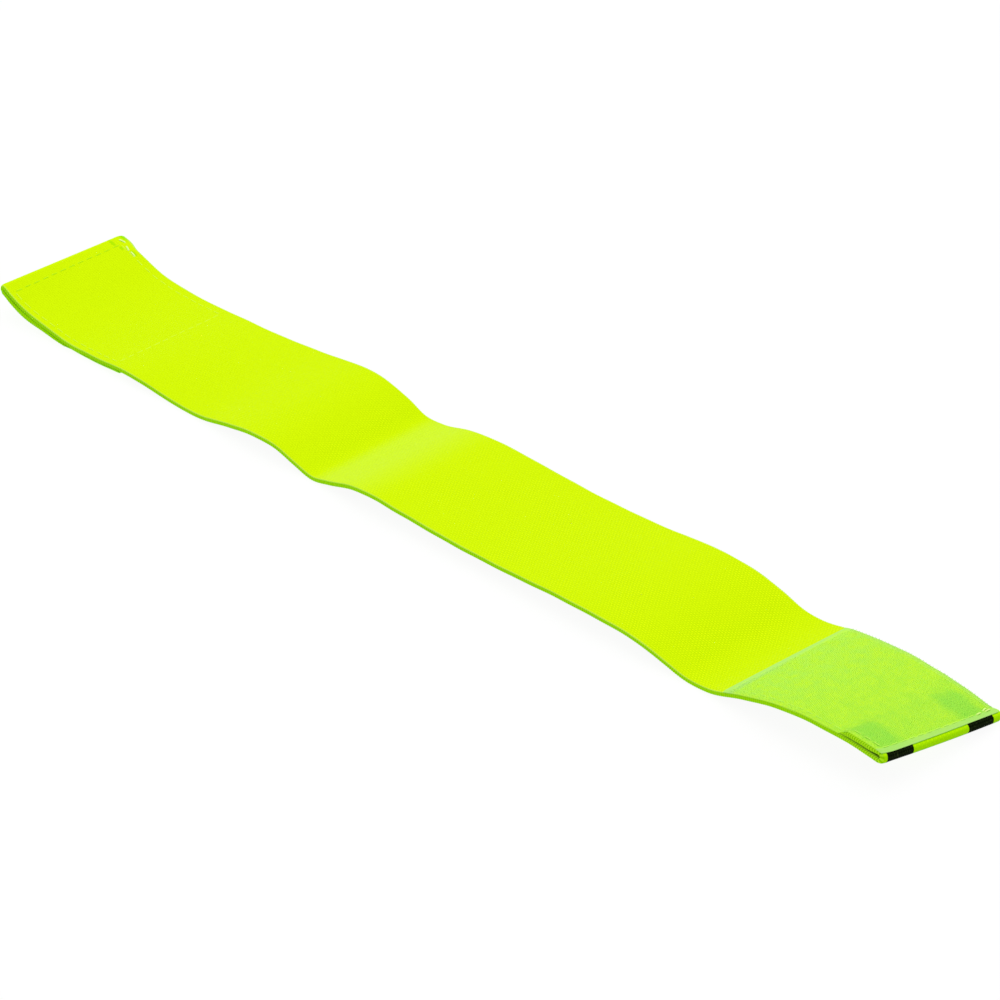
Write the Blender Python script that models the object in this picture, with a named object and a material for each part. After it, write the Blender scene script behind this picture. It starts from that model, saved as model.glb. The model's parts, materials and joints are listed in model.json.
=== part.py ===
"""Woven elastic arm band with a hook-and-loop closure, laid out open with its inner face up.

The band runs along X, from the loop end (-X) to the hook end (+X). Y is its width and Z is up.
The origin is on the surface that it lies on, under the middle of its box. The real band has one
length of webbing. Here it is a chain of short lengths, hinged across the band on its inner face,
so that it can be wrapped into a ring and the hook tab can be pressed on the loop tab.
"""
import math

import bpy

# Driving dimensions, in metres
BAND_WIDTH = 0.040
BAND_LENGTH = 0.304
WEBBING_THICKNESS = 0.0011
HEM_SLIT = 0.00015              # between the two layers of a folded hem
LOOP_HEM = 0.018                # folded under, to the outer face
HOOK_HEM = 0.012                # folded over, to the inner face
PATCH_WIDTH = 0.039
PATCH_THICKNESS = 0.0005
PATCH_SETBACK = 0.0012          # from the fold at each end of the band
HOOK_PATCH_LENGTH = 0.044
LOOP_PATCH_LENGTH = 0.044
RAMP = 0.002                    # where a patch steps down off the cut edge of a hem
THREAD_RADIUS = 0.00015
SEAM_INSET = 0.0014             # from the edges of a patch
GAP = 0.0003                    # between touching pieces
HINGE_GAP = 0.0004              # between neighbouring lengths of webbing
TAB_LENGTH = 0.046
LINK_COUNT = 16                 # short lengths between the two tabs
ROOT_LINK = 6                   # the one that the others bend away from, counted from the loop end
HOOK_TAB_TWIST = math.radians(5.0)   # the hook tab lies with its -Y edge raised

# The lie of the band: (distance from the loop end, height of the inner face) at each bend
LIE = [
    (0.000, 0.0085),
    (0.018, 0.0037),
    (0.027, 0.0025),
    (0.046, 0.0025),
    (0.062, 0.0026),
    (0.0725, 0.0030),
    (0.088, 0.0054),
    (0.099, 0.0054),
    (0.109, 0.0028),
    (0.116, 0.0014),
    (0.1255, 0.0034),
    (0.138, 0.0052),
    (0.152, 0.0048),
    (0.1785, 0.0046),
    (0.192, 0.0050),
    (0.205, 0.0058),
    (0.219, 0.0060),
    (0.2315, 0.0044),
    (0.242, 0.0015),
    (0.250, 0.0016),
    (0.258, 0.0035),
    (0.269, 0.0062),
    (0.292, 0.0062),
    (0.304, 0.0044),
]

LINK_LENGTH = (BAND_LENGTH - 2 * TAB_LENGTH) / LINK_COUNT
FOLD_RADIUS = WEBBING_THICKNESS + HEM_SLIT / 2
ARC_STEPS = 8

NEON = (0.62, 0.95, 0.0, 1.0)
HOOK_TINT = (0.55, 0.85, 0.25, 1.0)
LOOP_TINT = (0.62, 0.88, 0.35, 1.0)
THREAD_TINT = (0.75, 0.95, 0.35, 1.0)


def clear_scene():
    for item in list(bpy.data.objects):
        bpy.data.objects.remove(item, do_unlink=True)


def make_collection(name):
    collection = bpy.data.collections.new(name)
    bpy.context.scene.collection.children.link(collection)
    return collection


def make_material(name, color, roughness):
    material = bpy.data.materials.new(name)
    material.use_nodes = True
    shader = material.node_tree.nodes["Principled BSDF"]
    shader.inputs["Base Color"].default_value = color
    shader.inputs["Roughness"].default_value = roughness
    shader.inputs["Metallic"].default_value = 0.0
    return material


def height(distance):
    """Height of the webbing's inner face at a distance along the band."""
    for (start, low), (end, high) in zip(LIE, LIE[1:]):
        if distance <= end:
            return low + (high - low) * (distance - start) / (end - start)
    return LIE[-1][1]


def stations(start, end):
    """Distances from start to end, with every bend that lies between them."""
    return [start] + [bend for bend, _ in LIE if start < bend < end] + [end]


def face_line(start, end, offset):
    """Points along the band, offset metres above its inner face."""
    return [(distance, height(distance) + offset) for distance in stations(start, end)]


def fold_arc(center, radius, toward_hook_end):
    """Half a turn from the lower layer to the upper one, round the outside of a fold."""
    side = 1.0 if toward_hook_end else -1.0
    arc = []
    for step in range(1, ARC_STEPS):
        angle = -math.pi / 2 + math.pi * step / ARC_STEPS
        arc.append((center[0] + side * radius * math.cos(angle), center[1] + radius * math.sin(angle)))
    return arc


def add_hinge(name, distance, collection):
    """An empty across the band, on the inner face, where two lengths of webbing meet."""
    empty = bpy.data.objects.new(name, None)
    empty.empty_display_size = BAND_WIDTH / 2
    empty.location = (distance - BAND_LENGTH / 2, 0.0, height(distance))
    collection.objects.link(empty)
    return empty


def add_outline(name, outline, width, hinge, hinge_distance, material, collection):
    """A side outline, given as (distance, height), extruded across the band."""
    curve = bpy.data.curves.new(name, "CURVE")
    curve.dimensions = "2D"
    curve.fill_mode = "BOTH"
    curve.extrude = width / 2
    spline = curve.splines.new("POLY")
    spline.points.add(len(outline) - 1)
    for point, (distance, level) in zip(spline.points, outline):
        point.co = (distance - hinge_distance, level - height(hinge_distance), 0.0, 1.0)
    spline.use_cyclic_u = True
    return finish_curve(name, curve, (math.pi / 2, 0.0, 0.0), hinge, material, collection)


def add_seam(name, near_line, hinge, hinge_distance, material, collection):
    """One closed line of thread: along one edge of a patch, across it, and back along the other."""
    curve = bpy.data.curves.new(name, "CURVE")
    curve.dimensions = "3D"
    curve.bevel_depth = THREAD_RADIUS
    curve.bevel_resolution = 1
    half = PATCH_WIDTH / 2 - SEAM_INSET
    route = [(distance, -half, level) for distance, level in near_line]
    route += [(distance, half, level) for distance, level in reversed(near_line)]
    spline = curve.splines.new("POLY")
    spline.points.add(len(route) - 1)
    for point, (distance, across, level) in zip(spline.points, route):
        point.co = (distance - hinge_distance, across, level - height(hinge_distance), 1.0)
    spline.use_cyclic_u = True
    return finish_curve(name, curve, (0.0, 0.0, 0.0), hinge, material, collection)


def finish_curve(name, curve, rotation, hinge, material, collection):
    curve.materials.append(material)
    piece = bpy.data.objects.new(name, curve)
    piece.rotation_euler = rotation
    piece.parent = hinge
    collection.objects.link(piece)
    return piece


def webbing_link_outline(start, end):
    top = face_line(start + HINGE_GAP / 2, end - HINGE_GAP / 2, 0.0)
    return top + [(distance, level - WEBBING_THICKNESS) for distance, level in reversed(top)]


def loop_end_outline():
    """The webbing of the loop tab, with its hem folded under."""
    turn = FOLD_RADIUS
    layer = WEBBING_THICKNESS
    top = face_line(turn, TAB_LENGTH - HINGE_GAP / 2, 0.0)
    underside = face_line(turn, TAB_LENGTH - HINGE_GAP / 2, -layer)
    hem_top = face_line(turn, LOOP_HEM, -layer - HEM_SLIT)
    hem_bottom = face_line(turn, LOOP_HEM, -2 * layer - HEM_SLIT)
    center = (turn, height(turn) - FOLD_RADIUS)
    fold = fold_arc(center, FOLD_RADIUS, toward_hook_end=False)
    return list(reversed(underside)) + hem_top + list(reversed(hem_bottom)) + fold + top


def hook_end_outline():
    """The webbing of the hook tab, with its hem folded over on the inner face."""
    turn = BAND_LENGTH - FOLD_RADIUS
    root = BAND_LENGTH - TAB_LENGTH + HINGE_GAP / 2
    layer = WEBBING_THICKNESS
    underside = face_line(root, turn, -layer)
    top = face_line(root, turn, 0.0)
    hem_bottom = face_line(BAND_LENGTH - HOOK_HEM, turn, HEM_SLIT)
    hem_top = face_line(BAND_LENGTH - HOOK_HEM, turn, layer + HEM_SLIT)
    center = (turn, height(turn) + HEM_SLIT / 2)
    fold = fold_arc(center, FOLD_RADIUS, toward_hook_end=True)
    return underside + fold + list(reversed(hem_top)) + hem_bottom + list(reversed(top))


def hook_patch_line(start, end, lift):
    """Points over the webbing, up the step of the hem and over the hem."""
    hem_edge = BAND_LENGTH - HOOK_HEM
    low = face_line(start, hem_edge - RAMP, lift)
    high = face_line(hem_edge - GAP, end, lift + WEBBING_THICKNESS + HEM_SLIT)
    return low + high


def loop_patch_line(start, end, drop):
    """Points under the hem, up its step and under the single layer."""
    low = face_line(start, LOOP_HEM + GAP, -drop - 2 * WEBBING_THICKNESS - HEM_SLIT)
    high = face_line(LOOP_HEM + RAMP, end, -drop - WEBBING_THICKNESS)
    return low + high


def build_webbing(hinges, material, collection):
    """hinges holds the parent and its distance along the band, for each body from the loop end."""
    add_outline("webbing_loop_end", loop_end_outline(), BAND_WIDTH, *hinges[0], material, collection)
    for index in range(LINK_COUNT):
        start = TAB_LENGTH + index * LINK_LENGTH
        outline = webbing_link_outline(start, start + LINK_LENGTH)
        name = f"webbing_link_{index + 1}"
        add_outline(name, outline, BAND_WIDTH, *hinges[index + 1], material, collection)
    add_outline("webbing_hook_end", hook_end_outline(), BAND_WIDTH, *hinges[-1], material, collection)


def build_hook_patch(hinge, material, thread, collection):
    end = BAND_LENGTH - PATCH_SETBACK
    start = end - HOOK_PATCH_LENGTH
    under = hook_patch_line(start, end, GAP)
    over = hook_patch_line(start, end, GAP + PATCH_THICKNESS)
    add_outline("hook_patch", under + list(reversed(over)), PATCH_WIDTH, *hinge, material, collection)
    lift = 2 * GAP + PATCH_THICKNESS + THREAD_RADIUS
    needle = hook_patch_line(start + SEAM_INSET, end - SEAM_INSET, lift)
    add_seam("hook_patch_needle_thread", needle, *hinge, thread, collection)
    drop = WEBBING_THICKNESS + GAP + THREAD_RADIUS
    bobbin = face_line(start + SEAM_INSET, end - SEAM_INSET, -drop)
    add_seam("hook_patch_bobbin_thread", bobbin, *hinge, thread, collection)


def build_loop_patch(hinge, material, thread, collection):
    start = PATCH_SETBACK
    end = start + LOOP_PATCH_LENGTH
    over = loop_patch_line(start, end, GAP)
    under = loop_patch_line(start, end, GAP + PATCH_THICKNESS)
    add_outline("loop_patch", under + list(reversed(over)), PATCH_WIDTH, *hinge, material, collection)
    needle = face_line(start + SEAM_INSET, end - SEAM_INSET, GAP + THREAD_RADIUS)
    add_seam("loop_patch_needle_thread", needle, *hinge, thread, collection)
    drop = 2 * GAP + PATCH_THICKNESS + THREAD_RADIUS
    bobbin = loop_patch_line(start + SEAM_INSET, end - SEAM_INSET, drop)
    add_seam("loop_patch_bobbin_thread", bobbin, *hinge, thread, collection)


def build_hinges(collection):
    """One empty for each body: the tabs and links on the -X side turn about their +X end."""
    hinges = []
    for index in range(LINK_COUNT + 2):
        joint_index = index if index < ROOT_LINK else index - 1
        distance = TAB_LENGTH + joint_index * LINK_LENGTH
        name = f"hinge_of_body_{index}"
        hinges.append((add_hinge(name, distance, collection), distance))
    hinges[-1][0].rotation_euler = (HOOK_TAB_TWIST, 0.0, 0.0)
    return hinges


def main():
    clear_scene()
    band = make_collection("arm_band")
    webbing = make_material("neon_elastic_webbing", NEON, 0.8)
    hook_tape = make_material("hook_tape", HOOK_TINT, 0.5)
    loop_tape = make_material("loop_tape", LOOP_TINT, 0.9)
    thread = make_material("sewing_thread", THREAD_TINT, 0.6)
    hinges = build_hinges(band)
    build_webbing(hinges, webbing, band)
    build_hook_patch(hinges[-1], hook_tape, thread, band)
    build_loop_patch(hinges[0], loop_tape, thread, band)


main()
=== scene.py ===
"""Looks of the woven elastic arm band, which lies open along X with its inner face up.

Lengths are in millimetres until a mesh is written. u is the distance from the loop end along X,
s is the distance along the cloth itself, and y is the distance across, from the middle to the far edge.
"""

import json
import math
import random

import bpy
import numpy as np
from mathutils import Matrix, Vector


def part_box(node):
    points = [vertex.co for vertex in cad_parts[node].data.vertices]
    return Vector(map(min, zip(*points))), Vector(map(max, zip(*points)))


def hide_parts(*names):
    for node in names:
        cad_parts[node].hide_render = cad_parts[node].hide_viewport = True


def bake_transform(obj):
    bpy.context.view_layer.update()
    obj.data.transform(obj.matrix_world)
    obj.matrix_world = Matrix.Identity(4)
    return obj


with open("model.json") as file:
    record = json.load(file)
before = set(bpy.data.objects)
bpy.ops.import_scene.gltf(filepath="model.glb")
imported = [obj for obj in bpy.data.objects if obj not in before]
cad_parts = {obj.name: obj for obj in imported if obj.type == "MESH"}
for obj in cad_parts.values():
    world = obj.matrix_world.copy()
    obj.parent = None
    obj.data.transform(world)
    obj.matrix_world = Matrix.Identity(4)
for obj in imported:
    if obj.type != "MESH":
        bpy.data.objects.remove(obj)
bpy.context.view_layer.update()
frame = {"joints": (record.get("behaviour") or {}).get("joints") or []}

MM = 0.001
UV_SCALE = 100.0                # the meshes' UVs are distances on the cloth, over this
THICKNESS = 1.25
PICK = 0.455                    # pitch of the picks, along the band
CORD = 0.695                    # pitch of the warp cords, across it
STATION = PICK / 4
RIB = 0.65                      # pitch of the ribs on the selvedges and the outer face

START_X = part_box("webbing_loop_end")[0].x / MM
END_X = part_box("webbing_hook_end")[1].x / MM
LENGTH = END_X - START_X
HALF_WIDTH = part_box("webbing_link_8")[1].y / MM
BENDS = sorted(j["pos_m"][0] / MM - START_X for j in frame["joints"])
LINK = BENDS[1] - BENDS[0]
TABS = (BENDS[0] + LINK / 2, BENDS[-1] - LINK / 2)      # where the tabs' own pieces end

# The lie of the inner face: distance along the band, height of the near edge and of the far edge
LIE = np.array([
    (0, 9.2, 8.0), (8, 5.15, 5.95), (16, 3.4, 3.2), (24, 2.15, 2.05), (34, 2.0, 1.85), (48, 2.8, 2.4),
    (60, 1.85, 3.0), (68, 1.4, 3.6), (76, 1.8, 4.4), (85, 3.6, 5.6), (94, 4.9, 6.6), (101, 4.8, 6.2),
    (109, 2.8, 4.05), (115, 1.32, 1.75), (121, 2.5, 1.85), (130, 4.85, 4.05), (138, 5.4, 5.05),
    (146, 5.0, 5.3), (160, 4.55, 4.9), (174, 4.35, 4.7), (188, 4.8, 5.0), (200, 5.3, 5.75),
    (214, 5.45, 7.0), (221, 5.25, 7.1), (228, 4.6, 6.5), (236, 2.8, 4.8), (243, 1.32, 2.8),
    (249, 1.6, 2.4), (260, 4.8, 4.35), (270, 7.3, 5.35), (280, 8.6, 5.5), (286, 8.7, 4.5), (290, 8.7, 3.35),
    (296, 8.5, 2.3), (300, 8.05, 1.45), (304, 7.4, 1.32),
])

STRIPE = (9.15, 17.8)           # the outer face's two black stripes, from its middle
STRIPE_SHIFT = 1.15             # how far that middle lies off the band's own
LOOP_HEM_END = 24.0             # where the hems' cut ends lie
HOOK_HEM_END = LENGTH - 12.7
HOOK_START, HOOK_STOP = 255.6, LENGTH - 1.2
HOOK_SLANT = 1.4                # the start of the hook patch is not quite square across
HOOK_BARE = (1.8, 1.75)         # its strips without hooks, at the start and at the stop
LOOP_START, LOOP_STOP = 1.4, 44.6
HOOK_HALF, LOOP_HALF = 19.85, 19.5      # half widths
HOOK_PITCH, LOOP_PITCH = 0.5, 0.8
PATCH = 0.3                     # thickness of the tapes
SEAM_INSET = 1.4                # from the edge: the strips' columns lie closer together here
STITCH, TACK = 2.9, 2.2         # lengths of the seams' stitches
THREAD = 0.13                   # half the thread's thickness
SLIT = 0.1                      # between the loop end and its hem
LOOP_HEM_SHIFT = -0.35          # a hem lies a little off the layer that it is folded on
HOOK_HEM_SHIFT = -0.45


def smooth(low, high, x):
    t = np.clip((x - low) / (high - low), 0.0, 1.0)
    return t * t * (3.0 - 2.0 * t)


def edge_height(u, column):
    """Smooth curve through the lie's waypoints."""
    at, z = LIE[:, 0], LIE[:, column]
    slope = np.gradient(z, at)
    k = np.clip(np.searchsorted(at, u, side="right") - 1, 0, len(at) - 2)
    h = at[k + 1] - at[k]
    t = np.clip((u - at[k]) / h, -0.3, 1.3)
    a = (1 + 2 * t) * (1 - t) ** 2 * z[k] + t * (1 - t) ** 2 * h * slope[k]
    b = t * t * (3 - 2 * t) * z[k + 1] + t * t * (t - 1) * h * slope[k + 1]
    return a + b


def height(u, y):
    """How high the inner face lies."""
    share = (y + HALF_WIDTH) / (2 * HALF_WIDTH)
    return edge_height(u, 1) * (1 - share) + edge_height(u, 2) * share


def unit(v):
    return v / np.linalg.norm(v, axis=-1, keepdims=True)


def rounding(y, radius):
    """How far the corner of a fold is drawn in."""
    t = np.clip((np.abs(y) - (HALF_WIDTH - radius)) / radius, 0.0, 1.0)
    return radius * (1.0 - np.sqrt(np.clip(1.0 - t * t, 0.0, 1.0)))


def reach(u, y):
    """How far the ends run past the straight model; they are not quite square across."""
    side = y / HALF_WIDTH
    right = 1.25 + 0.75 * side + 0.35 * (1 - side * side) - 0.6 * rounding(y, 1.2)
    left = 0.75 - 0.25 * side - 0.8 * rounding(y, 1.3)
    return right * smooth(262.0, 301.0, u) - left * smooth(14.0, 1.5, u)


def flare(u, y):
    """How far its fold spreads the far corner of the loop end."""
    return 0.75 * smooth(15.0, 20.0, y) * smooth(7.5, 3.0, u)


def face(u, y):
    """Points of the inner face, their normals and their directions along the band."""
    u, y = np.broadcast_arrays(np.asarray(u, float), np.asarray(y, float))
    d = 0.05                    # half the step that the slopes are taken over
    here = np.stack([u + START_X + reach(u, y), y + flare(u, y), height(u, y)], -1)
    along = np.stack([np.full_like(u, 2 * d), np.zeros_like(u), height(u + d, y) - height(u - d, y)], -1)
    across = np.stack([np.zeros_like(u), np.full_like(u, 2 * d), height(u, y + d) - height(u, y - d)], -1)
    normal = unit(np.cross(along, across))
    return here, normal, unit(along)


ARC_U = np.arange(-4.0, LENGTH + 4.0, 0.25)
ARC_Z = height(ARC_U, np.zeros(len(ARC_U)))
ARC_S = np.concatenate([[0.0], np.cumsum(np.hypot(np.diff(ARC_U), np.diff(ARC_Z)))])


def arc(u):
    """Distance along the cloth itself, for the weave."""
    return np.interp(u, ARC_U, ARC_S) - np.interp(0.0, ARC_U, ARC_S)


HOOK_HEM_AT = float(arc(HOOK_HEM_END))
TOP, UNDER, RIM = 0, 1, 2       # a strip's materials


def slab(name, mid, normal, half, s, y, materials, edge_columns=0):
    """A closed strip of cloth. mid and normal have a row for each station and a column across;
    half is half its thickness, which is nothing in the first and last columns. The materials are those
    of its top, its underside and its rim, which is edge_columns wide."""
    n, m = mid.shape[:2]
    top = mid + normal * half[..., None]
    under = (mid - normal * half[..., None])[:, 1:-1]
    points = np.concatenate([top.reshape(-1, 3), under.reshape(-1, 3)])
    uv_top = np.stack([np.broadcast_to(s, (n, m)), np.broadcast_to(y, (n, m))], -1)
    uv = np.concatenate([uv_top.reshape(-1, 2), uv_top[:, 1:-1].reshape(-1, 2)])
    top_id = np.arange(n * m).reshape(n, m)
    inner_id = n * m + np.arange(n * (m - 2)).reshape(n, m - 2)
    under_id = np.concatenate([top_id[:, :1], inner_id, top_id[:, -1:]], 1)
    a, b = top_id[:-1], top_id[1:]
    up = np.stack([a[:, :-1], b[:, :-1], b[:, 1:], a[:, 1:]], -1).reshape(-1, 4)
    a, b = under_id[:-1], under_id[1:]
    down = np.stack([a[:, :-1], a[:, 1:], b[:, 1:], b[:, :-1]], -1).reshape(-1, 4)
    caps = []
    for row, turn in ((0, 1), (-1, -1)):
        t, w = top_id[row], under_id[row]
        quads = np.stack([t[1:-2], t[2:-1], w[2:-1], w[1:-2]], -1)[:, ::turn]
        ends = np.array([(t[0], t[1], w[1]), (t[-2], t[-1], w[-2])])[:, ::turn]
        caps.append((quads, ends))
    columns = np.tile(np.arange(m - 1), n - 1)
    rim = (columns < edge_columns) | (columns >= m - 1 - edge_columns)
    sharp = np.zeros(len(points), bool)
    for row in (0, -1):
        sharp[top_id[row]] = True
        sharp[under_id[row]] = True
    quads = [up, down, caps[0][0], caps[1][0]]
    cap_index = np.full(len(caps[0][0]) + len(caps[1][0]), RIM)
    index = np.concatenate([np.where(rim, RIM, TOP), np.where(rim, RIM, UNDER), cap_index])
    return polygons(name, points, quads, [caps[0][1], caps[1][1]], uv, index, materials, sharp)


def polygons(name, points, quads, triangles, uv, index, materials, sharp=None):
    """One mesh. index has the quads' materials; sharp marks the points that hard edges join."""
    quads, triangles = np.concatenate(quads), np.concatenate(triangles)
    loops = np.concatenate([quads.ravel(), triangles.ravel()]).astype(np.int32)
    starts = np.concatenate([np.arange(len(quads)) * 4, len(quads) * 4 + np.arange(len(triangles)) * 3])
    mesh = bpy.data.meshes.new(name)
    mesh.vertices.add(len(points))
    mesh.vertices.foreach_set("co", (points * MM).astype(np.float32).ravel())
    mesh.loops.add(len(loops))
    mesh.loops.foreach_set("vertex_index", loops)
    mesh.polygons.add(len(starts))
    mesh.polygons.foreach_set("loop_start", starts.astype(np.int32))
    limit = len(materials) - 1
    index = np.concatenate([index, np.full(len(triangles), RIM)])
    mesh.polygons.foreach_set("material_index", np.minimum(index, limit).astype(np.int32))
    mesh.update(calc_edges=True)
    mesh.polygons.foreach_set("use_smooth", np.ones(len(starts), bool))
    layer = mesh.uv_layers.new(name="cloth")
    layer.data.foreach_set("uv", (uv[loops] / UV_SCALE).astype(np.float32).ravel())
    flag = mesh.attributes.new("sharp_edge", "BOOLEAN", "EDGE")
    ends = np.zeros(len(mesh.edges) * 2, np.int32)
    mesh.edges.foreach_get("vertices", ends)
    ends = ends.reshape(-1, 2)
    if sharp is not None:
        flag.data.foreach_set("value", sharp[ends[:, 0]] & sharp[ends[:, 1]])
    for material in materials:
        mesh.materials.append(material)
    piece = bpy.data.objects.new(name, mesh)
    bpy.context.scene.collection.objects.link(piece)
    return piece


# ---------------------------------------------------------------- materials

# Colour of the painted highlight along the webbing's edges
PAINTED_HIGHLIGHT = (0.52, 0.80, 0.10)
# The yarns' colours in the weave's hollows and on its crests; their difference is painted shade of the
# weave's relief
INNER_YARNS = ((0.46, 0.74, 0.0), (0.75, 0.96, 0.002))      # dark and light
OUTER_YARNS = ((0.34, 0.74, 0.0), (0.52, 0.93, 0.0))
# Painted shadows beside the seam's tacks: (along, across) and half size
TACK_SHADOWS = (((2.4, 16.1), (1.6, 0.6)), ((5.2, 16.8), (1.0, 0.5)), ((8.4, 18.4), (1.5, 0.6)))

def socket_math(tree, operation, a, b=None):
    node = tree.nodes.new("ShaderNodeMath")
    node.operation = operation
    for slot, value in enumerate((a, b)):
        if value is None:
            continue
        if isinstance(value, (int, float)):
            node.inputs[slot].default_value = value
        else:
            tree.links.new(value, node.inputs[slot])
    return node.outputs[0]


def times(tree, a, b):
    return socket_math(tree, "MULTIPLY", a, b)


def plus(tree, a, b):
    return socket_math(tree, "ADD", a, b)


def less(tree, a, b):
    return socket_math(tree, "SUBTRACT", a, b)


def absolute(tree, a):
    return socket_math(tree, "ABSOLUTE", a)


def mixed(tree, factor, a, b):
    node = tree.nodes.new("ShaderNodeMix")
    node.data_type = "RGBA"
    for socket, value in ((node.inputs[0], factor), (node.inputs[6], a), (node.inputs[7], b)):
        if isinstance(value, (int, float)):
            socket.default_value = value
        elif isinstance(value, tuple):
            socket.default_value = (*value, 1.0)
        else:
            tree.links.new(value, socket)
    return node.outputs[2]


def ramp(tree, value, low, high):
    """0 at low and 1 at high, with soft ends. low may be the larger."""
    node = tree.nodes.new("ShaderNodeMapRange")
    node.interpolation_type = "SMOOTHSTEP"
    node.inputs["From Min"].default_value = low
    node.inputs["From Max"].default_value = high
    tree.links.new(value, node.inputs["Value"])
    return node.outputs["Result"]


def noise(tree, vector, scale, detail=2.0, roughness=0.5):
    node = tree.nodes.new("ShaderNodeTexNoise")
    node.inputs["Scale"].default_value = scale
    node.inputs["Detail"].default_value = detail
    node.inputs["Roughness"].default_value = roughness
    tree.links.new(vector, node.inputs["Vector"])
    return node.outputs["Fac"]


def start_material(name, roughness, specular, sheen, sheen_roughness):
    """(material, its tree, its shader, distance along the cloth, distance across it, both as a vector)"""
    material = bpy.data.materials.new(name)
    material.use_nodes = True
    tree = material.node_tree
    shader = tree.nodes["Principled BSDF"]
    shader.inputs["Roughness"].default_value = roughness
    shader.inputs["Specular IOR Level"].default_value = specular
    shader.inputs["Sheen Weight"].default_value = sheen
    shader.inputs["Sheen Roughness"].default_value = sheen_roughness
    uv = tree.nodes.new("ShaderNodeUVMap")
    uv.uv_map = "cloth"
    split = tree.nodes.new("ShaderNodeSeparateXYZ")
    tree.links.new(uv.outputs["UV"], split.inputs[0])
    along = times(tree, split.outputs[0], UV_SCALE)
    across = times(tree, split.outputs[1], UV_SCALE)
    place = tree.nodes.new("ShaderNodeCombineXYZ")
    tree.links.new(along, place.inputs[0])
    tree.links.new(across, place.inputs[1])
    return material, tree, shader, along, across, place.outputs[0]


def add_bump(tree, shader, height_socket, strength, distance):
    bump = tree.nodes.new("ShaderNodeBump")
    bump.inputs["Strength"].default_value = strength
    bump.inputs["Distance"].default_value = distance * MM
    tree.links.new(height_socket, bump.inputs["Height"])
    tree.links.new(bump.outputs["Normal"], shader.inputs["Normal"])


def weave(tree, along, across, place):
    """(1 where a warp cord floats over, height of the yarns)"""
    wander = times(tree, noise(tree, place, 0.35), 0.5)
    picks = plus(tree, times(tree, along, math.pi / PICK), wander)
    cords = plus(tree, times(tree, across, math.pi / CORD), wander)
    both = times(tree, socket_math(tree, "COSINE", picks), socket_math(tree, "COSINE", cords))
    float_over = ramp(tree, both, -0.35, 0.35)
    bulge = socket_math(tree, "POWER", absolute(tree, both), 0.6)
    return float_over, bulge


def woven_color(tree, along, across, place, dark, light):
    """(colour, height of the yarns). The yarns are painted lighter on their crests and darker in their
    hollows, which is painted shade of the weave's relief. Towards the loop end this painted shade is calmed,
    nearly to one colour, following how the light fell along the band; it is also calmed at random.
    """
    float_over, bulge = weave(tree, along, across, place)
    # Painted shade of the weave's relief: lighter where the yarns bulge and float over, darker between them
    shade = plus(tree, times(tree, bulge, 0.65), times(tree, float_over, 0.35))
    color = mixed(tree, shade, dark, light)
    even = tuple(0.47 * a + 0.53 * b for a, b in zip(dark, light))
    # The painted shade is calmed towards the loop end, following how the light fell along the band, and at
    # random
    calm = times(tree, ramp(tree, along, 230.0, 20.0), 0.45)
    calm = plus(tree, calm, times(tree, ramp(tree, noise(tree, place, 0.08, 2.0), 0.35, 0.65), 0.4))
    calm = plus(tree, calm, times(tree, ramp(tree, along, 75.0, 35.0), 0.3))
    color = mixed(tree, calm, color, even)
    cloudy = ramp(tree, noise(tree, place, 0.09, 3.0), 0.3, 0.7)
    return mixed(tree, times(tree, cloudy, 0.10), color, (0.56, 0.86, 0.0)), bulge


def ribs(tree, along):
    return socket_math(tree, "COSINE", times(tree, along, 2 * math.pi / RIB))


def rim_color(tree, color, along, off_edge):
    """The selvedge is ribbed, more so on the hook end's hem, and painted darker and greener than the faces,
    which is painted shade of the band's sides. Where it is free it has a painted highlight where it rounds
    onto the faces.
    """
    rib = ribs(tree, along)
    on_hem = ramp(tree, along, HOOK_HEM_AT - 3.0, HOOK_HEM_AT + 3.0)
    # Rib colours darker and greener than the faces': painted shade of the band's sides; the ribs are the
    # cloth's own
    plain_rim = mixed(tree, ramp(tree, rib, -1.0, 1.0), (0.19, 0.60, 0.0), (0.27, 0.70, 0.003))
    ribbed_rim = mixed(tree, ramp(tree, rib, -0.8, 0.8), (0.15, 0.51, 0.0), (0.38, 0.80, 0.015))
    color = mixed(tree, 0.8, color, mixed(tree, on_hem, plain_rim, ribbed_rim))
    free = times(tree, ramp(tree, along, 0.0, 2.0), ramp(tree, along, HOOK_HEM_AT, HOOK_HEM_AT - 2.0))
    # Painted highlight where the free selvedge rounds onto the faces
    rim_highlight = times(tree, ramp(tree, off_edge, 0.04, 0.12), free)
    return mixed(tree, times(tree, rim_highlight, 0.7), color, PAINTED_HIGHLIGHT)


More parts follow.
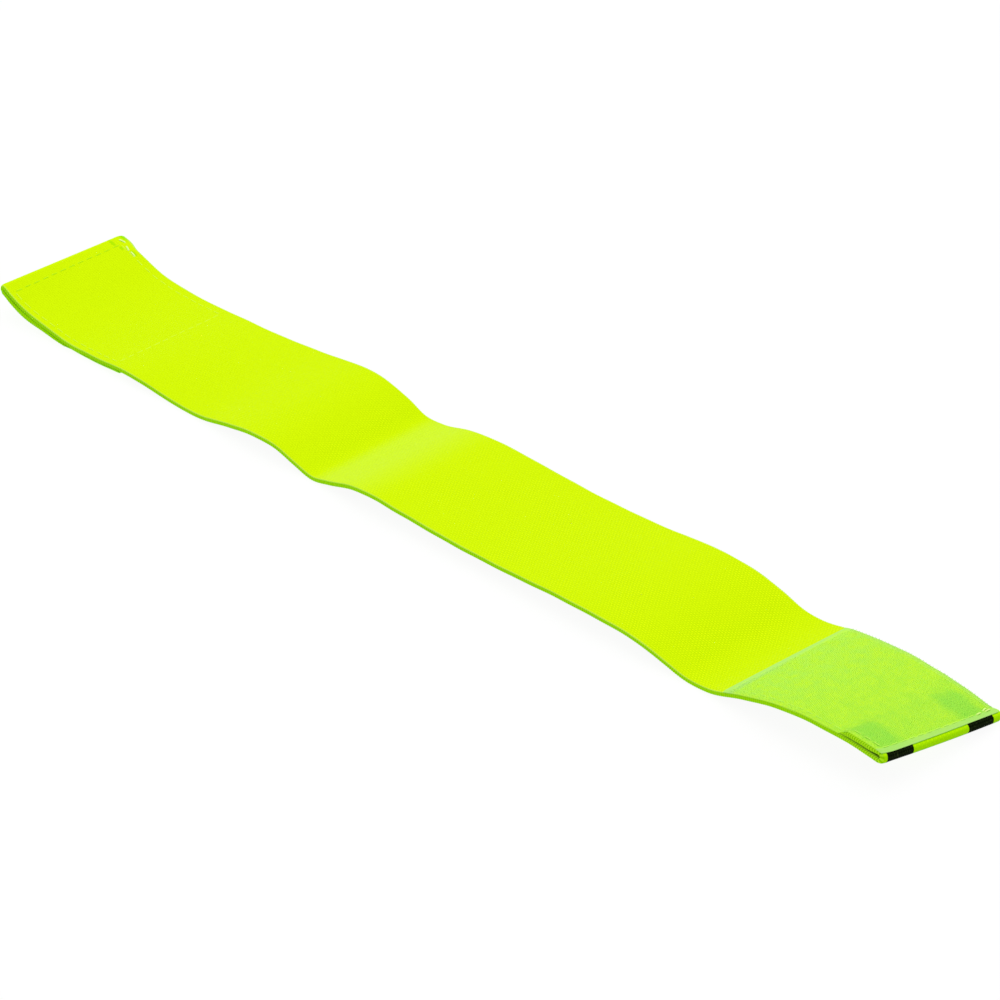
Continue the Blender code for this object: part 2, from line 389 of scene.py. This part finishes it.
def inner_color(tree, color, along, across, off_edge):
    """Painted shade under the hook end's hem and at the far corner of the loop end's fold, painted shadows
    beside the loop end's tacks, a painted sheen on one slope and a painted highlight at the edges."""
    # Painted shade on the inner face under the hook end's hem, seen in the gap
    shade_under_hem = ramp(tree, along, HOOK_HEM_AT + 0.3, HOOK_HEM_AT + 1.0)
    color = mixed(tree, times(tree, shade_under_hem, 0.8), color, (0.12, 0.34, 0.0))
    # Painted shade where the loop end's fold curls at its far corner
    crest = times(tree, ramp(tree, along, 1.5, 0.2), ramp(tree, across, 14.8, 17.0))
    corner = times(tree, ramp(tree, along, 4.5, 1.5), ramp(tree, across, 18.4, 19.6))
    fold_corner_shade = socket_math(tree, "MAXIMUM", crest, corner)
    color = mixed(tree, times(tree, fold_corner_shade, 0.8), color, (0.24, 0.76, 0.0))
    for at, size in TACK_SHADOWS:
        far = [socket_math(tree, "POWER", absolute(tree, times(tree, less(tree, value, a), 1.0 / b)), 2.0)
               for value, a, b in zip((along, across), at, size)]
        # Painted shadow beside each tack
        tack_shadow = ramp(tree, plus(tree, far[0], far[1]), 1.0, 0.1)
        color = mixed(tree, times(tree, tack_shadow, 0.55), color, (0.26, 0.70, 0.0))
    # Painted sheen on the slope after the valley
    pale = times(tree, ramp(tree, along, 117.0, 122.0), ramp(tree, along, 142.0, 127.0))
    color = mixed(tree, times(tree, pale, 0.24), color, (0.58, 0.88, 0.09))
    # Painted highlight along the inner face's edges
    inner_edge_highlight = ramp(tree, off_edge, 0.5, 0.15)
    return mixed(tree, times(tree, inner_edge_highlight, 0.6), color, PAINTED_HIGHLIGHT)


def outer_color(tree, color, bulge, along, across, place):
    """Ribbed, with painted shade in the ribs' grooves and on the half of the hook end's fold that faces the
    floor, and with two black stripes.
    """
    # The ribs' grooves are painted darker: painted shade, as the ribs have no bump
    grooves = less(tree, 1.0, ramp(tree, ribs(tree, along), -0.9, 0.3))
    color = mixed(tree, times(tree, grooves, 0.45), color, (0.27, 0.66, 0.0))
    fold = float(arc(LENGTH - THICKNESS))
    # Painted shade on the half of the hook end's fold that faces the floor
    fold_underside_shade = times(tree, ramp(tree, along, fold - 4.0, fold - 1.0), ramp(tree, along, fold + 1.6, fold))
    color = mixed(tree, times(tree, fold_underside_shade, 0.75), color, (0.19, 0.48, 0.0))
    off_middle = absolute(tree, plus(tree, across, STRIPE_SHIFT))
    ragged = times(tree, less(tree, noise(tree, place, 1.6, 1.0), 0.5), 0.35)
    off_middle = plus(tree, off_middle, ragged)
    black = times(tree, ramp(tree, off_middle, STRIPE[0] - 0.08, STRIPE[0] + 0.08),
                  ramp(tree, off_middle, STRIPE[1] + 0.08, STRIPE[1] - 0.08))
    specks = ramp(tree, noise(tree, place, 1.9, 1.0), 0.60, 0.72)
    # The black yarns too are painted lighter on their crests: painted shade of the weave's relief
    ink = mixed(tree, bulge, (0.0005, 0.002, 0.0), (0.008, 0.014, 0.003))
    ink = mixed(tree, times(tree, specks, 0.6), ink, (0.030, 0.050, 0.010))
    return mixed(tree, black, color, ink)


def webbing_material(name, striped=False, rim=False):
    material, tree, shader, along, across, place = start_material(name, 0.9, 0.01, 0.10, 0.25)
    yarns = OUTER_YARNS if striped else INNER_YARNS
    color, bulge = woven_color(tree, along, across, place, *yarns)
    off_edge = less(tree, HALF_WIDTH, absolute(tree, across))
    if rim:
        color = rim_color(tree, color, along, off_edge)
    elif striped:
        color = outer_color(tree, color, bulge, along, across, place)
    else:
        color = inner_color(tree, color, along, across, off_edge)
    tree.links.new(color, shader.inputs["Base Color"])
    add_bump(tree, shader, bulge, 0.6, 0.12)
    return material


def hook_tape_color(tree, grain, mottled, along, across, place):
    """Thin enough for the black stripes of the hem under it to show, with bare strips along its two
    woven ends and a green far edge."""
    start, stop = float(arc(HOOK_START)), float(arc(HOOK_STOP))
    color = mixed(tree, ramp(tree, along, start, start + 30.0), (0.478, 0.850, 0.076), (0.446, 0.812, 0.024))
    color = mixed(tree, mottled, color, (0.545, 0.865, 0.015))
    color = mixed(tree, times(tree, grain, 0.5), color, (0.40, 0.83, 0.10))
    wobble = times(tree, less(tree, noise(tree, place, 0.35), 0.5), 2.4)
    off_middle = plus(tree, absolute(tree, plus(tree, across, STRIPE_SHIFT)), wobble)
    band = times(tree, ramp(tree, off_middle, STRIPE[0] - 2.2, STRIPE[0] + 2.6),
                 ramp(tree, off_middle, STRIPE[1] + 1.6, STRIPE[1] - 1.6))
    on_hem = ramp(tree, plus(tree, along, wobble), HOOK_HEM_AT - 3.5, HOOK_HEM_AT + 2.5)
    ghost = times(tree, times(tree, band, on_hem), 0.62)
    shaded = times(tree, ramp(tree, along, HOOK_HEM_AT - 8.0, HOOK_HEM_AT + 1.0), 0.14)
    color = mixed(tree, socket_math(tree, "MAXIMUM", ghost, shaded), color, (0.23, 0.69, 0.065))
    edge = ramp(tree, across, HOOK_HALF - 2.2, HOOK_HALF - 0.3)
    color = mixed(tree, times(tree, edge, 0.45), color, (0.42, 0.76, 0.20))
    uneven = times(tree, less(tree, noise(tree, place, 0.9, 2.0), 0.5), 0.9)
    ruffled = plus(tree, along, uneven)
    near_start = ramp(tree, ruffled, start + 2.9, start + 1.1)
    color = mixed(tree, times(tree, near_start, 0.8), color, (0.41, 0.765, 0.165))
    near_stop = ramp(tree, ruffled, stop - 1.8, stop - 1.4)
    color = mixed(tree, times(tree, near_stop, 0.8), color, (0.38, 0.71, 0.14))
    last_row = ramp(tree, along, stop - 0.45, stop - 0.25)
    return mixed(tree, times(tree, last_row, 0.7), color, (0.40, 0.72, 0.17))


def tape_material(name, hooks=False):
    material, tree, shader, along, across, place = start_material(name, 0.7, 0.06, 0.05, 0.3)
    mottled = ramp(tree, noise(tree, place, 0.3, 4.0, 0.65), 0.3, 0.7)
    fine = noise(tree, place, 1.9, 3.0, 0.7)
    if hooks:
        color = hook_tape_color(tree, ramp(tree, fine, 0.3, 0.7), mottled, along, across, place)
    else:
        color = mixed(tree, mottled, (0.30, 0.74, 0.01), (0.38, 0.80, 0.02))
    tree.links.new(color, shader.inputs["Base Color"])
    add_bump(tree, shader, fine, 0.5, 0.12)
    return material


def thread_material(name, dark, light, tack, groove_shade):
    """Twisted thread. tack is its colour where stitches lie over each other; the last colour is painted
    shade, for stitches drawn down into a groove; a stitch's tone is in its distance across."""
    material, tree, shader, along, across, _ = start_material(name, 0.7, 0.1, 0.1, 0.3)
    spiral = plus(tree, times(tree, along, 14.0), times(tree, across, 6.28))
    twist = socket_math(tree, "SINE", spiral)
    color = mixed(tree, ramp(tree, twist, -1.0, 1.0), dark, light)
    color = mixed(tree, ramp(tree, across, 4.0, 6.0), color, tack)
    # Painted groove shade for stitches of negative tone
    color = mixed(tree, ramp(tree, across, -4.0, -6.0), color, groove_shade)
    tree.links.new(color, shader.inputs["Base Color"])
    return material


# ---------------------------------------------------------------- webbing

# The webbing's rounded edge: (distance in from it, share of the thickness)
EDGE = ((0.0, 0.0), (0.015, 0.45), (0.07, 0.78), (0.18, 0.94), (0.4, 1.0))
RIM_COLUMNS = 3                 # columns of the selvedge's material, at each edge
LOOP_FOLD_ROWS, HOOK_FOLD_ROWS = 18, 22
PATCH_STATION = 0.25
FULL_TACK = 10.0                # the tone of thread lying over thread
DIP = 0.22                      # how deep a stitch's ends go in


def columns(half):
    """(distances across, shares of the thickness) of the columns of a strip."""
    inside = [half - SEAM_INSET - d for d in (-0.45, -0.2, 0.0, 0.2, 0.45)]
    middle = list(np.linspace(0.0, half - SEAM_INSET - 2.0, 8))
    right = sorted(middle + inside + [half - d for d, _ in EDGE])
    y = np.array([-v for v in reversed(right[1:])] + right)
    share = np.interp(half - np.abs(y), [d for d, _ in EDGE], [h for _, h in EDGE])
    return y, share


def selvedge(s, y, half):
    """The picks turn back round the outermost cord, so that the edge is scalloped."""
    rim = np.clip((np.abs(y) - (half - 0.5)) / 0.5, 0.0, 1.0)
    scallop = 0.07 * np.cos(2 * math.pi * s / RIB)
    drift = 0.06 * np.sin(s / 3.7 + 1.0) + 0.05 * np.sin(s / 1.9) + 0.07 * np.sin(s / 11.0)
    return np.sign(y) * rim * (scallop + drift)


def webbing_rows(u):
    """Middle surface, normals and directions along the band of the stations at u."""
    y, share = columns(HALF_WIDTH)
    here, normal, along = face(u[:, None], y[None, :])
    return here - normal * THICKNESS / 2, normal, along, y, share


def loop_hem_share(u):
    """The cut end of the loop end's hem is pressed thin."""
    return 1.0 - 0.8 * smooth(7.0, LOOP_HEM_END, u)


def finish_strip(name, mid, normal, s, y, share, materials, replaces, thin=1.0):
    """A length of webbing. s is the distance along the cloth; thin is each row's share of the thickness."""
    out = np.zeros_like(mid)
    out[..., 1] = selvedge(s[:, None], y[None, :], HALF_WIDTH)
    half = np.broadcast_to(share * THICKNESS / 2, mid.shape[:2]) * np.reshape(thin, (-1, 1))
    piece = slab(name, mid + out, normal, half, s[:, None], y[None, :], materials, RIM_COLUMNS)
    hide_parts(*replaces)
    return piece


def mid_piece(k, materials):
    """The k-th length of webbing between the tabs."""
    start, end = TABS[0] + (k - 1) * LINK, TABS[0] + k * LINK
    count = int(round(LINK / STATION))
    u = np.linspace(start, end, count + 1)
    mid, normal, _, y, share = webbing_rows(u)
    return finish_strip(f"webbing_{k}", mid, normal, arc(u), y, share, materials, [f"webbing_link_{k}"])


def turned(center, up, along, radius, angles, side):
    """Rows round a fold. side is -1 where the hem goes under and +1 where it goes over."""
    c, s = np.cos(angles)[:, None, None], np.sin(angles)[:, None, None]
    mid = center - side * up * radius[..., None] * c + side * along * radius[..., None] * s
    return mid, up * c - along * s


def loop_end(materials):
    """The loop tab, from the cut end of its hem to the first length of webbing."""
    fold_at = THICKNESS + 0.1
    u = np.append(np.arange(TABS[0], fold_at, -STATION), fold_at)
    mid, normal, along, y, share = webbing_rows(u)
    radius = np.full(len(y), (THICKNESS + SLIT) / 2)
    center = mid[-1] - normal[-1] * radius[:, None]
    angles = np.linspace(0, math.pi, LOOP_FOLD_ROWS)[1:-1]
    round_mid, round_normal = turned(center, normal[-1], along[-1], radius[None, :], angles, -1)
    back = np.arange(fold_at, LOOP_HEM_END, STATION)
    hem_mid, hem_normal, _, _, _ = webbing_rows(back)
    thin = loop_hem_share(back)
    hem_mid = hem_mid - hem_normal * (SLIT + THICKNESS / 2 * (1.0 + thin))[:, None, None]
    hem_mid[..., 1] += LOOP_HEM_SHIFT * smooth(0.0, 5.0, back)[:, None]
    mid = np.concatenate([mid, round_mid, hem_mid])
    normal = np.concatenate([normal, round_normal, -hem_normal])
    turn_length = math.pi * radius[0]
    turn_s = arc(fold_at) - turn_length * angles / math.pi
    hem_s = arc(fold_at) - turn_length - (arc(back) - arc(fold_at))
    s = np.concatenate([arc(u), turn_s, hem_s])
    thin = np.concatenate([np.ones(len(s) - len(back)), thin])
    return finish_strip("webbing_loop_tab", mid[::-1], normal[::-1], s[::-1], y, share, materials,
                        ["webbing_loop_end"], thin[::-1])


def hook_gap(u, y):
    """How far the hem stands off the inner face: it opens towards the fold and the near edge."""
    opening = 0.1 + 0.2 * smooth(HOOK_HEM_END + 2.0, LENGTH - 2.0, u)
    return opening * smooth(34.0, 6.0, y) + 0.4 * smooth(-16.5, -20.2, y)


def hook_end(materials):
    """The hook tab, from the last length of webbing to the cut end of its hem."""
    fold_at = LENGTH - THICKNESS - 0.5
    u = np.append(np.arange(TABS[1], fold_at, STATION), fold_at)
    mid, normal, along, y, share = webbing_rows(u)
    radius = (THICKNESS + hook_gap(fold_at, y)) / 2
    center = mid[-1] + normal[-1] * radius[:, None]
    angles = np.linspace(0, math.pi, HOOK_FOLD_ROWS)[1:-1]
    round_mid, round_normal = turned(center, normal[-1], along[-1], radius[None, :], angles, 1)
    back = np.arange(fold_at, HOOK_HEM_END, -STATION)
    hem_mid, hem_normal, _, _, _ = webbing_rows(back)
    pressed = 0.35 * smooth(HOOK_HEM_END + 2.0, HOOK_HEM_END, back)[:, None]
    rise = THICKNESS + hook_gap(back[:, None], y[None, :]) - pressed
    hem_mid = hem_mid + hem_normal * rise[..., None]
    hem_mid[..., 1] += HOOK_HEM_SHIFT * smooth(fold_at, fold_at - 3.0, back)[:, None]
    mid = np.concatenate([mid, round_mid, hem_mid])
    normal = np.concatenate([normal, round_normal, -hem_normal])
    turn_length = math.pi * radius[len(y) // 2]
    turn_s = arc(fold_at) + turn_length * angles / math.pi
    hem_s = arc(fold_at) + turn_length + arc(fold_at) - arc(back)
    s = np.concatenate([arc(u), turn_s, hem_s])
    hem_thin = 0.45 + 0.55 * smooth(HOOK_HEM_END, HOOK_HEM_END + 1.8, back)
    thin = np.concatenate([np.ones(len(s) - len(back)), hem_thin])
    return finish_strip("webbing_hook_tab", mid, normal, s, y, share, materials,
                        ["webbing_hook_end", "webbing_link_16"], thin)


# ---------------------------------------------------------------- patches and seams

def hook_lift(u, y):
    """How far the hook patch's underside stands off the inner face. It climbs onto the hem
    in a step at the near edge and in a long slope at the far one."""
    begin = HOOK_HEM_END - 2.0 - 8.5 * smooth(-20.0, 20.0, y)
    return (THICKNESS + hook_gap(u, y)) * smooth(begin, HOOK_HEM_END + 1.9, u) + 0.02


def hook_skew(u):
    """How far the hook patch lies to the side of the band's middle."""
    return -0.1 - 0.35 * smooth(286.0, 300.0, u)


def loop_skew(u):
    """The same of the loop patch."""
    return -0.25 - 0.01 * u


def loop_lift(u, y):
    """How far the loop patch's upper side stands off the inner face; it is the same all the way across."""
    hem = SLIT + THICKNESS * loop_hem_share(u)
    return THICKNESS + hem * smooth(LOOP_HEM_END + 2.5, LOOP_HEM_END - 0.3, u) + 0.05


def patch_strip(name, width, skew, start, slant, end, side, lift, material, replaces):
    """A tape of half the given width, on the inner face where side is 1 and on the outer where it is -1."""
    y, share = columns(width)
    count = int((end - start) / PATCH_STATION)
    t = np.linspace(0.0, 1.0, count + 1)[:, None]
    first = (start + slant * y / HALF_WIDTH)[None, :]
    u = first + (end - first) * t
    here, normal, _ = face(u, y[None, :])
    droop = 0.14 * smooth(width - 0.7, width, np.abs(y))[None, :]
    mid = here + normal * (side * (lift(u, y[None, :]) + PATCH / 2 - droop))[..., None]
    mid[..., 1] += skew(u)
    half = np.broadcast_to(share * PATCH / 2, u.shape)
    taper = np.minimum(np.minimum(t, 1 - t) * 40, 1.0) ** 0.5
    piece = slab(name, mid, normal, half * (0.55 + 0.45 * taper), arc(u), y[None, :], [material])
    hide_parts(replaces)
    return piece


def stitches(name, route, offset_of, material, replaces, seed, tacks=(), tones=(0, 0, 0, 0),
             sink=(0, 0, 0, 0)):
    """Single stitches along a closed route of (distance, across) corners, and tacks, which are rows of
    (start, end, tone). offset_of gives the place on a face; tones and sink have each leg's colour
    and how far it is drawn in."""
    rng = random.Random(seed)
    rings, sides = 9, 6
    legs = zip(route, route[1:] + route[:1], tones, sink)
    runs = [(a, b, STITCH, 0.10, 0.06, 1.0, tone, depth) for a, b, tone, depth in legs]
    runs += [(a, b, TACK, 0.05, 0.15, 1.6, tone, 0.0) for a, b, tone in tacks]
    points, uv = [], []
    share = np.linspace(0, 1, rings)
    arch = np.clip(np.sin(share * math.pi) * 2.2, 0, 1) ** 0.8
    for a, b, pitch, gap, disorder, thick, tone, depth in runs:
        length = math.dist(a, b)
        square = np.array([-(b[1] - a[1]), b[0] - a[0]]) / length
        count = max(1, round(length / pitch))
        for k in range(count):
            t = np.linspace((k + gap) / count, (k + (1 - gap)) / count, rings)
            jog = rng.uniform(-disorder, disorder)
            u = a[0] + (b[0] - a[0]) * t + square[0] * jog
            v = a[1] + (b[1] - a[1]) * t + square[1] * jog
            here, normal = offset_of(u, v)
            rise = -DIP + (DIP - depth + THREAD * (0.4 + 0.04 * max(tone, 0))) * arch
            line = here + normal * rise[:, None]
            tangent = unit(np.gradient(line, axis=0))
            sidewise = unit(np.cross(tangent, normal))
            upward = np.cross(sidewise, tangent)
            for r in range(rings):
                fat = THREAD * thick * (0.75 if r in (0, rings - 1) else 1.0)
                for q in range(sides):
                    angle = 2 * math.pi * q / sides
                    points.append(line[r] + sidewise[r] * math.cos(angle) * fat * 1.2
                                  + upward[r] * math.sin(angle) * fat * 0.8)
                    uv.append((t[r] * length, q / sides + tone))
    ids = np.arange(len(points)).reshape(-1, rings, sides)
    near, far = ids[:, :-1], ids[:, 1:]
    tubes = np.stack([near, np.roll(near, -1, 2), np.roll(far, -1, 2), far], -1).reshape(-1, 4)
    first, last = ids[:, 0], ids[:, -1]
    caps = np.stack([first[:, [3, 2, 1, 0]], first[:, [5, 4, 3, 0]],
                     last[:, [0, 1, 2, 3]], last[:, [0, 3, 4, 5]]], 1).reshape(-1, 4)
    quads = np.concatenate([tubes, caps])
    piece = polygons(name, np.array(points), [quads], [np.zeros((0, 3), int)], np.array(uv),
                     np.zeros(len(quads), int), [material])
    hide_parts(replaces)
    return piece


def pile(name, places, profile, material, replaces, seed):
    """Short bent filaments standing on a tape. places is (feet, normals, directions along, cloth distances);
    profile has a row (along, up, radius) for each ring."""
    rng = np.random.default_rng(seed)
    feet, up, along, uv = places
    count, rings, sides = len(feet), len(profile), 3
    turn = rng.choice([0.0, math.pi], count) + rng.normal(0.0, 0.35, count)
    size = rng.uniform(0.85, 1.1, count)[:, None]
    across = np.cross(up, along)
    lean = along * np.cos(turn)[:, None] + across * np.sin(turn)[:, None]
    side = np.cross(up, lean)
    path = np.array([(a, b) for a, b, _ in profile])
    slope = unit(np.gradient(path, axis=0))
    points = np.zeros((count, rings, sides, 3))
    for r, (a, b, radius) in enumerate(profile):
        center = feet + (lean * a + up * b) * size
        out = lean * slope[r, 1] - up * slope[r, 0]
        for q in range(sides):
            angle = 2 * math.pi * q / sides
            points[:, r, q] = center + (side * math.cos(angle) + out * math.sin(angle)) * radius
    ids = np.arange(points.size // 3).reshape(count, rings, sides)
    near, far = ids[:, :-1], ids[:, 1:]
    quads = np.stack([near, far, np.roll(far, -1, 2), np.roll(near, -1, 2)], -1).reshape(-1, 4)
    caps = np.concatenate([ids[:, 0], ids[:, -1, ::-1]])
    uv = np.repeat(uv, rings * sides, axis=0)
    piece = polygons(name, points.reshape(-1, 3), [quads], [caps], uv, np.zeros(len(quads), int), [material])
    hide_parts(replaces)
    return piece


def tape_grid(first, last, half, pitch, seed):
    """Staggered rows of (distance, across) with a little disorder."""
    rng = np.random.default_rng(seed)
    rows = np.arange(first, last, pitch)
    y = np.arange(-half, half, pitch)
    u, v = np.meshgrid(rows, y, indexing="ij")
    v = v + (np.arange(len(rows)) % 2)[:, None] * pitch / 2
    u = u + rng.normal(0.0, 0.12, u.shape) * pitch
    v = v + rng.normal(0.0, 0.08, v.shape) * pitch
    return u.ravel(), v.ravel()


# Profiles of a hook and of a loop: (along, up, radius)
HOOK = ((0.0, -0.05, 0.07), (0.0, 0.075, 0.055), (0.045, 0.13, 0.05), (0.13, 0.115, 0.04))
LOOP = ((-0.28, -0.06, 0.04), (-0.32, 0.05, 0.04), (-0.12, 0.15, 0.04),
        (0.14, 0.14, 0.04), (0.32, 0.05, 0.04), (0.26, -0.06, 0.04))


# Where a seam or a pile stands: (points, normals) at distances along and across

def on_inner(u, v):
    here, normal, _ = face(u, v)
    return here, normal


def on_outer(u, v):
    here, normal, _ = face(u, v)
    return here - normal * THICKNESS, -normal


def on_hook(u, v):
    here, normal, _ = face(u, v)
    return here + normal * (hook_lift(u, v) + PATCH)[:, None], normal


def on_loop(u, v):
    here, normal, _ = face(u, v)
    return here - normal * (loop_lift(u, v) + PATCH)[:, None], -normal


def patch_pile(name, on_patch, skew, u, v, profile, material, replaces, seed):
    """Hooks or loops at the given distances along and across a patch."""
    foot, up = on_patch(u, v)
    foot[:, 1] += skew(u)
    along = face(u, v)[2]
    places = (foot, up, along, np.stack([arc(u), v], -1))
    return pile(name, places, profile, material, replaces, seed)


def bend(piece):
    """Bakes the piece's placement into its mesh."""
    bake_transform(piece)


def make_band():
    """Makes every visible piece and bakes each one's placement into its mesh."""
    cloth = [webbing_material("webbing_inner_face"),
             webbing_material("webbing_outer_face", striped=True),
             webbing_material("webbing_selvedge", rim=True)]
    hook_tape = tape_material("hook_tape", hooks=True)
    loop_tape = tape_material("loop_tape")
    # Each thread's last colour is its painted groove shade
    thread = thread_material("sewing_thread", (0.61, 0.87, 0.012), (0.68, 0.91, 0.05),
                             (0.72, 0.93, 0.26), (0.49, 0.81, 0.0))
    tape_thread = thread_material("sewing_thread_on_tape", (0.48, 0.86, 0.07), (0.54, 0.90, 0.12),
                                  (0.66, 0.92, 0.22), (0.36, 0.76, 0.05))

    loop_tab = loop_end(cloth)
    hook_tab = hook_end(cloth)
    links = [mid_piece(k, cloth) for k in range(1, len(BENDS) - 1)]
    hook = patch_strip("hook_patch_tape", HOOK_HALF, hook_skew, HOOK_START, HOOK_SLANT, HOOK_STOP, 1.0,
                       hook_lift, hook_tape, "hook_patch")
    loop = patch_strip("loop_patch_tape", LOOP_HALF, loop_skew, LOOP_START, 0.0, LOOP_STOP, -1.0,
                       loop_lift, loop_tape, "loop_patch")

    u, v = tape_grid(HOOK_START, HOOK_STOP - HOOK_BARE[1], HOOK_HALF - 0.25, HOOK_PITCH, 11)
    hooked = u >= HOOK_START + HOOK_BARE[0] + HOOK_SLANT * v / HALF_WIDTH
    hooks = patch_pile("hook_patch_hooks", on_hook, hook_skew, u[hooked], v[hooked],
                       HOOK, hook_tape, "hook_patch", 12)
    u, v = tape_grid(LOOP_START + 1.6, LOOP_STOP - 1.4, LOOP_HALF - 0.9, LOOP_PITCH, 13)
    loops = patch_pile("loop_patch_loops", on_loop, loop_skew, u, v,
                       LOOP, loop_tape, "loop_patch", 14)

    # The seams' corners (distance along, across), from the start of their near edge
    sewn = HOOK_STOP - 1.7
    hook_route = [(HOOK_START, -18.4), (sewn, -18.7), (sewn, 17.9), (258.4, 18.3)]
    hook_tacks = [((sewn - 0.2, 17.8), (sewn + 0.1, 15.6), FULL_TACK),
                  ((sewn - 1.0, 17.2), (sewn - 0.4, 15.2), FULL_TACK),
                  ((sewn, 14.4), (sewn + 0.2, 12.6), FULL_TACK)]
    loop_route = [(3.6, -18.3), (41.8, -17.8), (41.8, 17.2), (3.6, 17.5)]
    loop_tacks = [((1.9, 18.2), (3.9, 18.8), FULL_TACK), ((4.8, 18.3), (6.6, 17.9), FULL_TACK),
                  ((6.9, 18.0), (8.9, 17.7), FULL_TACK)]
    hook_seams = [
        stitches("hook_patch_needle_stitches", hook_route, on_hook, tape_thread, "hook_patch_needle_thread",
                 3, hook_tacks, sink=(0.03, 0.07, 0.095, 0.095)),
        stitches("hook_patch_bobbin_stitches", hook_route, on_outer, thread, "hook_patch_bobbin_thread", 4)]
    loop_seams = [
        # Tone -10 gives the leg across the band by the fold the thread's painted groove shade
        stitches("loop_patch_needle_stitches", loop_route, on_inner, thread, "loop_patch_needle_thread",
                 5, loop_tacks, tones=(0, 0, 0, -10), sink=(0.03, 0.09, 0.05, 0.05)),
        stitches("loop_patch_bobbin_stitches", loop_route, on_loop, thread, "loop_patch_bobbin_thread", 6)]

    for piece in [loop_tab, loop, loops] + loop_seams:
        bend(piece)
    for k, piece in enumerate(links, 1):
        bend(piece)
    for piece in [hook_tab, hook, hooks] + hook_seams:
        bend(piece)


# ---------------------------------------------------------------- stage and camera, in metres

FLOOR_SIZE, FLOOR_DROP = 8.0, 0.00012
FLOOR_TONE, FLOOR_GLOW, WORLD_GLOW = 0.07, 0.93, 0.84
LAMP_PLACE, LAMP_SIZE, LAMP_POWER = (-0.3, 0.5, 1.6), 1.8, 13.0
VIEW_TURN, VIEW_RISE = 44.94, 31.94     # degrees
VIEW_DISTANCE = 1.458
LENS, SENSOR = 216.0, 36.0              # millimetres
AIM = (0.013, 0.0, 0.003)
OFF_AIM = (-0.00284, 0.00386)           # the view's middle, to the right of the aim and above it


def make_stage():
    """A pale floor, a little luminous so that the shadow stays faint, under one soft light."""
    bpy.ops.mesh.primitive_plane_add(size=FLOOR_SIZE, location=(0.0, 0.0, -FLOOR_DROP))
    floor = bpy.context.object
    floor.name = "floor"
    material = bpy.data.materials.new("pale_floor")
    material.use_nodes = True
    shader = material.node_tree.nodes["Principled BSDF"]
    shader.inputs["Base Color"].default_value = (FLOOR_TONE, FLOOR_TONE, FLOOR_TONE, 1.0)
    shader.inputs["Roughness"].default_value = 1.0
    shader.inputs["Specular IOR Level"].default_value = 0.0
    shader.inputs["Emission Color"].default_value = (1.0, 1.0, 1.0, 1.0)
    shader.inputs["Emission Strength"].default_value = FLOOR_GLOW
    floor.data.materials.append(material)
    world = bpy.data.worlds.new("studio")
    world.use_nodes = True
    world.node_tree.nodes["Background"].inputs["Color"].default_value = (1.0, 1.0, 1.0, 1.0)
    world.node_tree.nodes["Background"].inputs["Strength"].default_value = WORLD_GLOW
    bpy.context.scene.world = world
    place = Vector(LAMP_PLACE)
    data = bpy.data.lights.new("softbox_above", "AREA")
    data.shape = "SQUARE"
    data.size = LAMP_SIZE
    data.energy = LAMP_POWER
    lamp = bpy.data.objects.new("softbox_above", data)
    lamp.location = place
    lamp.rotation_mode = "QUATERNION"
    lamp.rotation_quaternion = (-place).to_track_quat("-Z", "Y")
    bpy.context.scene.collection.objects.link(lamp)
    bpy.context.scene.view_settings.view_transform = "Standard"


def make_camera():
    """From the near right and above."""
    turn, rise = math.radians(VIEW_TURN), math.radians(VIEW_RISE)
    right = Vector((math.cos(turn), math.sin(turn), 0.0))
    away = Vector((-math.sin(turn), math.cos(turn), 0.0))
    forward = away * math.cos(rise) - Vector((0.0, 0.0, math.sin(rise)))
    up = right.cross(forward)
    aim = Vector(AIM)
    place = aim - forward * VIEW_DISTANCE
    target = aim + right * OFF_AIM[0] + up * OFF_AIM[1]
    look = (target - place).normalized()
    level = look.cross(Vector((0, 0, 1))).normalized()
    data = bpy.data.cameras.new("camera")
    data.lens = LENS
    data.sensor_width = SENSOR
    data.clip_start, data.clip_end = 0.1, 20.0
    camera = bpy.data.objects.new("camera", data)
    axes = (*level, 0), (*level.cross(look), 0), (*(-look), 0), (0, 0, 0, 1)
    camera.matrix_world = Matrix(axes).transposed()
    camera.location = place
    bpy.context.scene.collection.objects.link(camera)
    bpy.context.scene.camera = camera


make_camera()
make_stage()
make_band()
